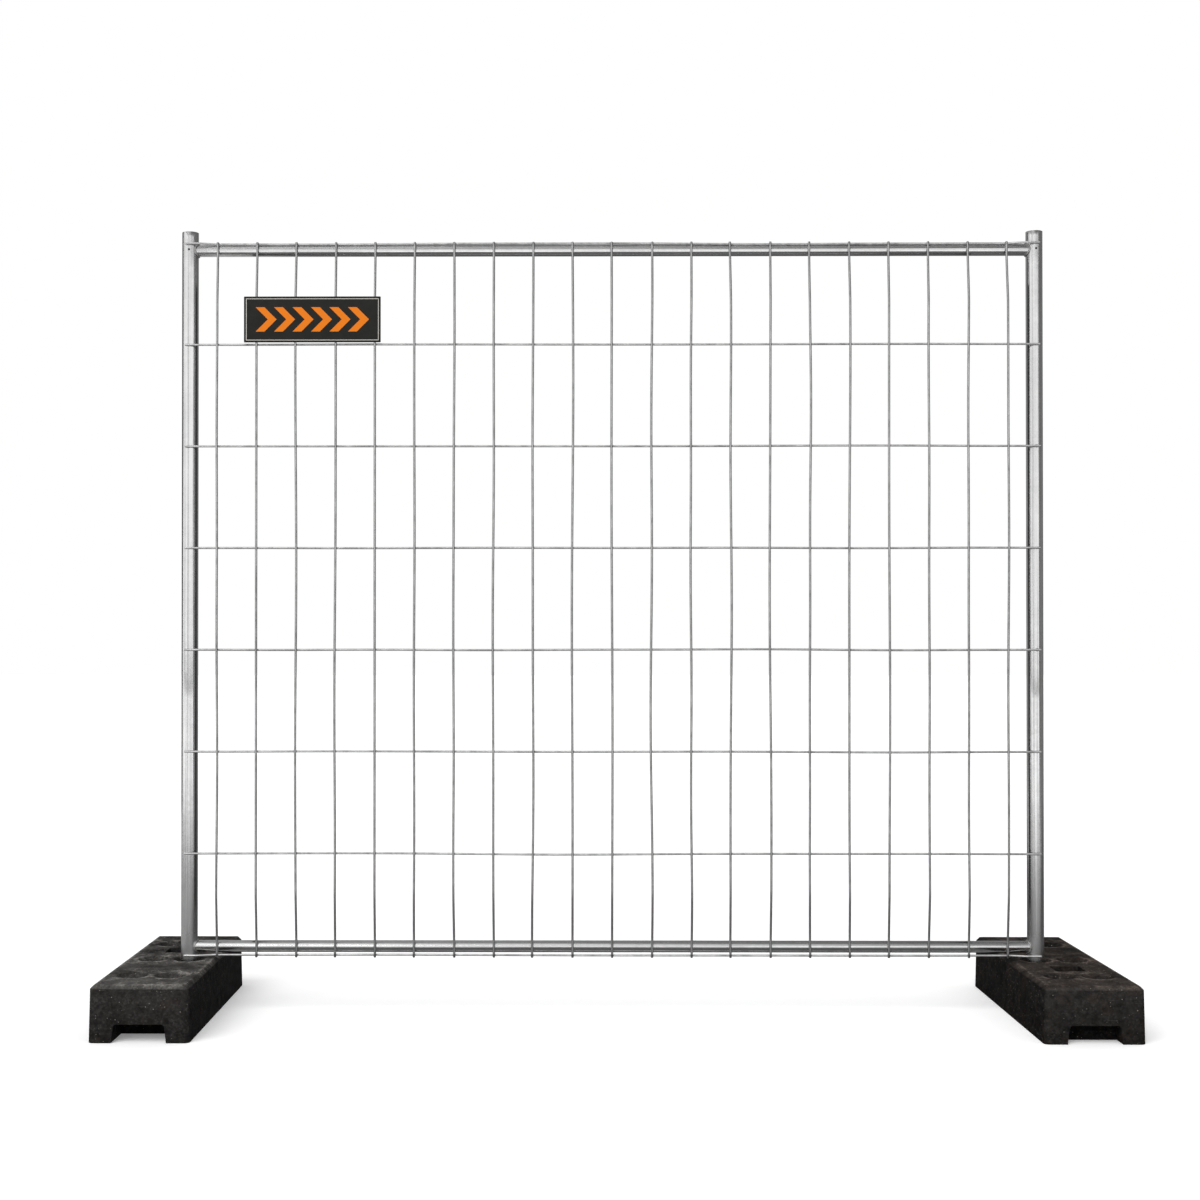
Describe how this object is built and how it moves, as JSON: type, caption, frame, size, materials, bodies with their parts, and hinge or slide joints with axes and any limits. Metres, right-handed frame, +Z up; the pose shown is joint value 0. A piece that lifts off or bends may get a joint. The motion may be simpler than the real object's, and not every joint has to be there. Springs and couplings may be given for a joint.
{
  "type": "temporary fence panel",
  "caption": "Welded steel tube and wire mesh fence panel standing in moulded rubber block feet that turn about its posts, with a small sign plate clipped to the mesh.",
  "frame": {"origin": "on the ground, midway between the posts, in the plane of the tube frame", "axes": "+X along the panel from the left foot to the right one as seen from the front, +Y to the back, +Z up; the mesh and the sign are on the front, which faces -Y"},
  "size_m": [2.49, 0.7, 1.992],
  "materials": {
    "tube_zinc": "hot-dip galvanised steel tube",
    "wire_zinc": "galvanised drawn wire",
    "weld_metal": "weld bead under zinc",
    "clip_steel": "zinc-plated sheet",
    "sign_plate": "printed plastic sheet",
    "recycled_rubber": "moulded recycled rubber granulate"
  },
  "bodies": {
    "panel": {"left_post": "tube_zinc", "right_post": "tube_zinc", "top_rail": "tube_zinc", "bottom_rail": "tube_zinc", "rail_weld_beads": "weld_metal", "horizontal_wire_1": "wire_zinc", "horizontal_wire_2": "wire_zinc", "horizontal_wire_3": "wire_zinc", "horizontal_wire_4": "wire_zinc", "horizontal_wire_5": "wire_zinc", "horizontal_wire_6": "wire_zinc", "horizontal_wire_7": "wire_zinc", "horizontal_wire_8": "wire_zinc", "vertical_wire_01": "wire_zinc", "vertical_wire_02": "wire_zinc", "vertical_wire_03": "wire_zinc", "vertical_wire_04": "wire_zinc", "vertical_wire_05": "wire_zinc", "vertical_wire_06": "wire_zinc", "vertical_wire_07": "wire_zinc", "vertical_wire_08": "wire_zinc", "vertical_wire_09": "wire_zinc", "vertical_wire_10": "wire_zinc", "vertical_wire_11": "wire_zinc", "vertical_wire_12": "wire_zinc", "vertical_wire_13": "wire_zinc", "vertical_wire_14": "wire_zinc", "vertical_wire_15": "wire_zinc", "vertical_wire_16": "wire_zinc", "vertical_wire_17": "wire_zinc", "vertical_wire_18": "wire_zinc", "vertical_wire_19": "wire_zinc", "vertical_wire_20": "wire_zinc", "vertical_wire_21": "wire_zinc", "sign_plate": "sign_plate", "sign_saddles": "clip_steel"},
    "left_foot": {"left_foot_block": "recycled_rubber"},
    "right_foot": {"right_foot_block": "recycled_rubber"}
  },
  "joints": [
    {"name": "left_foot_swivel", "type": "hinge", "parent": "panel", "child": "left_foot", "pos_m": [-1.079, 0, 0.067], "axis": [0, 0, 1], "continuous": true},
    {"name": "right_foot_swivel", "type": "hinge", "parent": "panel", "child": "right_foot", "pos_m": [1.079, 0, 0.067], "axis": [0, 0, 1], "continuous": true}
  ]
}
